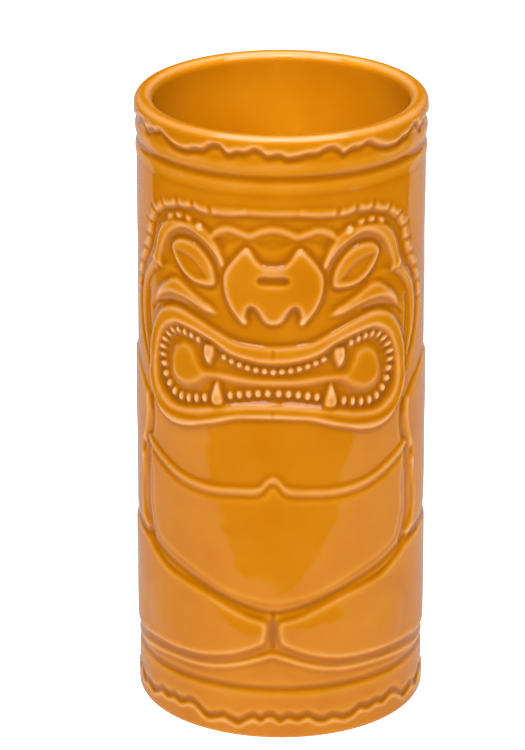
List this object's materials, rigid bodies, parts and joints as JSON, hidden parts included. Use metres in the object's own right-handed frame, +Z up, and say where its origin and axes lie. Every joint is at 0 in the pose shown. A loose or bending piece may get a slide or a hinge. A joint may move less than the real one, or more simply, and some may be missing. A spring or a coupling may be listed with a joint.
{
  "type": "tiki mug",
  "caption": "Tall straight-sided ceramic cup with a carved-look open-mouthed mask and figure in low relief, under an amber glaze.",
  "frame": {"origin": "centre of the foot, on the surface the mug stands on", "axes": "+Z up along the mug's axis, the face looks along -Y, +X to the right of the face"},
  "size_m": [0.073, 0.073, 0.16],
  "materials": {
    "amber_glaze": "gloss",
    "bisque_clay": "matte"
  },
  "bodies": {
    "root": {"clay_body": "bisque_clay", "outer_glaze": "amber_glaze", "well_glaze": "amber_glaze", "base_glaze": "amber_glaze"}
  },
  "joints": []
}
